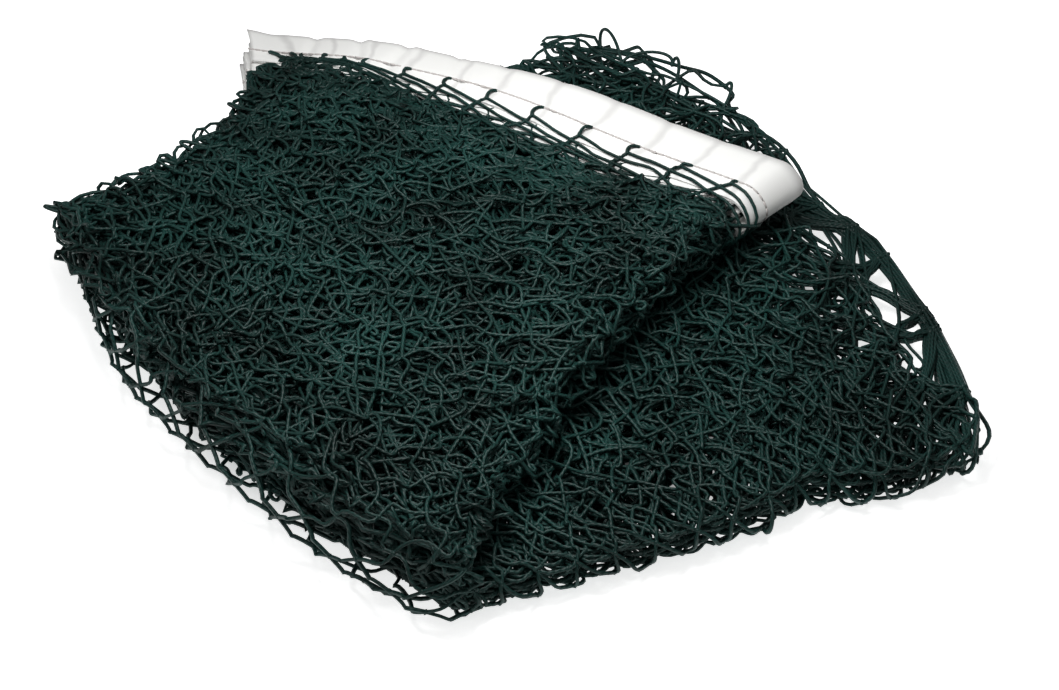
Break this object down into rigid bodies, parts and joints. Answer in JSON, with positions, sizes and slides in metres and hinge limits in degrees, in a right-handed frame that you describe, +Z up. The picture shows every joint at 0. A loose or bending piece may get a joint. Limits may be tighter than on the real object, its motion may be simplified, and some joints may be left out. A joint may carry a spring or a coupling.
{
  "type": "folded badminton net",
  "caption": "Badminton net of dark knotted twine with a white head tape, laid back and forth into a stack and folded over once on a slant for storage.",
  "frame": {"origin": "middle of the bundle's plan box, on the surface it lies on", "axes": "+Z up, +X along the longest side of the plan box, +Y away from the front corner, towards the head tape"},
  "size_m": [0.4766, 0.4542, 0.0546],
  "materials": {
    "netting": "twisted and knotted twine, dark green",
    "tape": "plain woven tape, white"
  },
  "bodies": {
    "root": {"net": "netting", "head_tape": "tape"}
  },
  "joints": []
}
